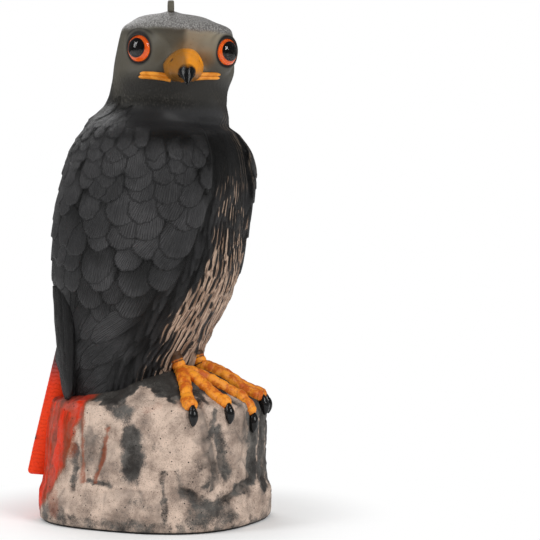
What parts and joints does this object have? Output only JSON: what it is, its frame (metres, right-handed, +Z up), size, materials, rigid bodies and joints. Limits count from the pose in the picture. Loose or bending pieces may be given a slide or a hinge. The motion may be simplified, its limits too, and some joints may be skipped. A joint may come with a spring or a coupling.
{
  "type": "hawk decoy",
  "caption": "Hollow garden bird scarer shaped as a perched hawk on a rock, with domed eyes, a hanging eye on the crown and a stoppered filling hole underneath.",
  "frame": {"origin": "on the ground, in the middle of the part's own box", "axes": "+Z up to the crown, -Y the way the chest faces, +Y towards the tail, -X the bird's right wing"},
  "size_m": [0.179, 0.1946, 0.4062],
  "materials": {
    "painted_shell": "airbrushed paint over moulded plastic",
    "clear_lens": "clear and polished",
    "orange_iris": "gloss",
    "black_pupil": "gloss",
    "stopper": "matte"
  },
  "bodies": {
    "shell": {"shell": "painted_shell", "eye_lens_right": "clear_lens", "eye_lens_left": "clear_lens", "iris_disc_right": "orange_iris", "iris_disc_left": "orange_iris", "pupil_stem_right": "black_pupil", "pupil_stem_left": "black_pupil"},
    "stopper": {"fill_plug": "stopper"}
  },
  "joints": [
    {"name": "stopper_pull", "type": "slide", "parent": "shell", "child": "stopper", "axis": [0, 0, -1], "range_m": [0, 0.06]}
  ]
}
